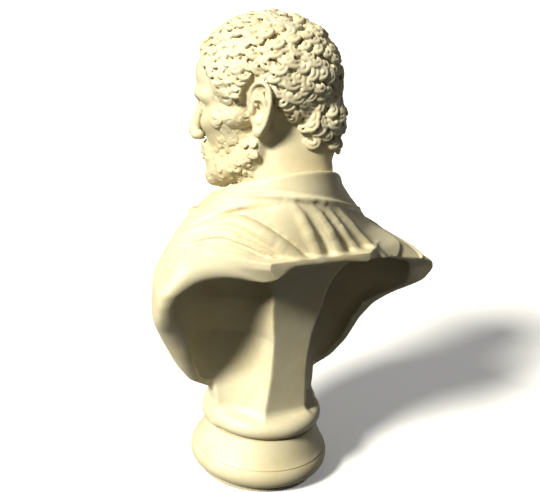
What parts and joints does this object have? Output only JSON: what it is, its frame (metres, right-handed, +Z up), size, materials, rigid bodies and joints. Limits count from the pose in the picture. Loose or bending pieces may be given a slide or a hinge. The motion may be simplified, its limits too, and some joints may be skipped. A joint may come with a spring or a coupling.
{
  "type": "marble bust",
  "caption": "Life-size marble bust of a curly-haired, bearded man in a draped cloak, head turned to his left, hollowed behind a back support, on a turned round socle.",
  "frame": {"origin": "on the table, at the centre of the felt under the socle", "axes": "+Z up, the chest faces -Y, +X is the sitter's left, towards which the head is turned"},
  "size_m": [0.4767, 0.2679, 0.7165],
  "materials": {
    "honed_marble": "honed, slightly aged warm cream marble",
    "lime_mortar": "matt fine lime mortar",
    "stainless_steel": "drawn",
    "setting_resin": "cast, dull",
    "wool_felt": "pressed undyed wool"
  },
  "bodies": {
    "root": {"base_felt": "wool_felt", "socle": "honed_marble", "tie_rod": "stainless_steel", "tie_rod_resin": "setting_resin", "tie_rod_washer": "stainless_steel", "tie_rod_nut": "stainless_steel", "socle_mortar": "lime_mortar", "torso": "honed_marble", "neck_mortar": "lime_mortar", "neck_pin": "stainless_steel", "neck_pin_resin": "setting_resin", "head": "honed_marble"}
  },
  "joints": []
}
